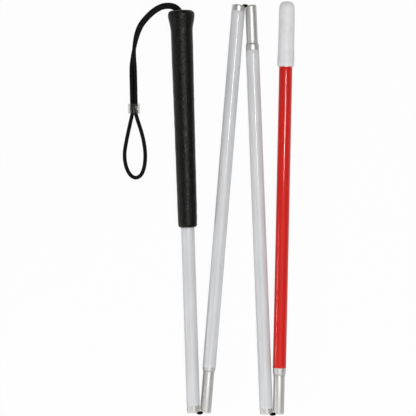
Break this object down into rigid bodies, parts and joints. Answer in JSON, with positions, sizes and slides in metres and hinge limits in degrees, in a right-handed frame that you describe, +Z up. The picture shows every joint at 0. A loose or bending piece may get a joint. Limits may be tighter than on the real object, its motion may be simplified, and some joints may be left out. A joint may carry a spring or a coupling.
{
  "type": "folding blind cane",
  "caption": "Folding white cane for a blind walker, folded flat: elastic-linked tube sections, rubber grip, wrist cord with slider, red lower section and nylon pencil tip.",
  "frame": {"origin": "middle of the underside of the folded cane's bounding box, measured without the wrist cord and its slider, on the table it lies on", "axes": "+X across the folded sections from the grip to the red tip section, +Y along them towards the grip's head and the pencil tip, +Z up from the table"},
  "size_m": [0.1319, 0.3175, 0.0202],
  "materials": {
    "black_rubber": "matt black grip rubber with a fine grain",
    "aluminium": "bare drawn tube, satin to bright",
    "white_tape": "silver-white reflective tape, faintly mottled",
    "red_tape": "red reflective tape with a clear glossy face",
    "white_nylon": "moulded white nylon, slightly scuffed",
    "black_plastic": "plain moulded plug",
    "elastic": "black covered elastic",
    "cord": "smooth round black cord",
    "clear_plastic": "clear moulded plastic"
  },
  "bodies": {
    "handle_section": {"handle_grip": "black_rubber", "handle_tube": "aluminium", "handle_tape": "white_tape", "handle_end_plug": "black_plastic", "elastic_handle_knot": "elastic", "elastic_in_handle": "elastic", "wrist_cord": "cord", "wrist_cord_knot": "cord"},
    "cord_slider": {"cord_slider": "clear_plastic"},
    "fold_1": {"elastic_fold_1": "elastic"},
    "section_2": {"section_2_tube": "aluminium", "section_2_insert": "aluminium", "section_2_tape": "white_tape", "elastic_in_section_2": "elastic"},
    "fold_2": {"elastic_fold_2": "elastic"},
    "section_3": {"section_3_tube": "aluminium", "section_3_insert": "aluminium", "section_3_tape": "white_tape", "elastic_in_section_3": "elastic"},
    "fold_3": {"elastic_fold_3": "elastic"},
    "tip_section": {"tip_section_tube": "aluminium", "tip_section_insert": "aluminium", "tip_section_tape": "red_tape", "pencil_tip": "white_nylon", "tip_anchor_plug": "black_plastic", "elastic_in_tip_section": "elastic", "elastic_tip_knot": "elastic"}
  },
  "joints": [
    {"name": "slider_slide", "type": "slide", "parent": "handle_section", "child": "cord_slider", "axis": [-0.02, 0.9998, 0], "range_m": [0, 0.021]},
    {"name": "fold_1_slide", "type": "slide", "parent": "handle_section", "child": "fold_1", "axis": [-0.0305, 0.9994, 0.013], "range_m": [0, 0.0316]},
    {"name": "fold_1_hinge", "type": "hinge", "parent": "fold_1", "child": "section_2", "pos_m": [-0.0245, -0.1564, 0.00561], "axis": [-0.1155, 0.0094, -0.9933], "range_deg": [-4.5, 173.55], "deforming": ["elastic_fold_1"]},
    {"name": "fold_2_slide", "type": "slide", "parent": "section_2", "child": "fold_2", "axis": [-0.0812, -0.9967, 0], "range_m": [0, 0.02885]},
    {"name": "fold_2_hinge", "type": "hinge", "parent": "fold_2", "child": "section_3", "pos_m": [0.01021, 0.15595, 0.00507], "axis": [0, 0, 1], "range_deg": [-5, 173.16], "deforming": ["elastic_fold_2"]},
    {"name": "fold_3_slide", "type": "slide", "parent": "section_3", "child": "fold_3", "axis": [-0.038, 0.9993, 0], "range_m": [0, 0.02917]},
    {"name": "fold_3_hinge", "type": "hinge", "parent": "fold_3", "child": "tip_section", "pos_m": [0.0314, -0.15738, 0.00534], "axis": [0.0563, 0.0021, -0.9984], "range_deg": [-1.7, 176.62], "deforming": ["elastic_fold_3"]}
  ]
}
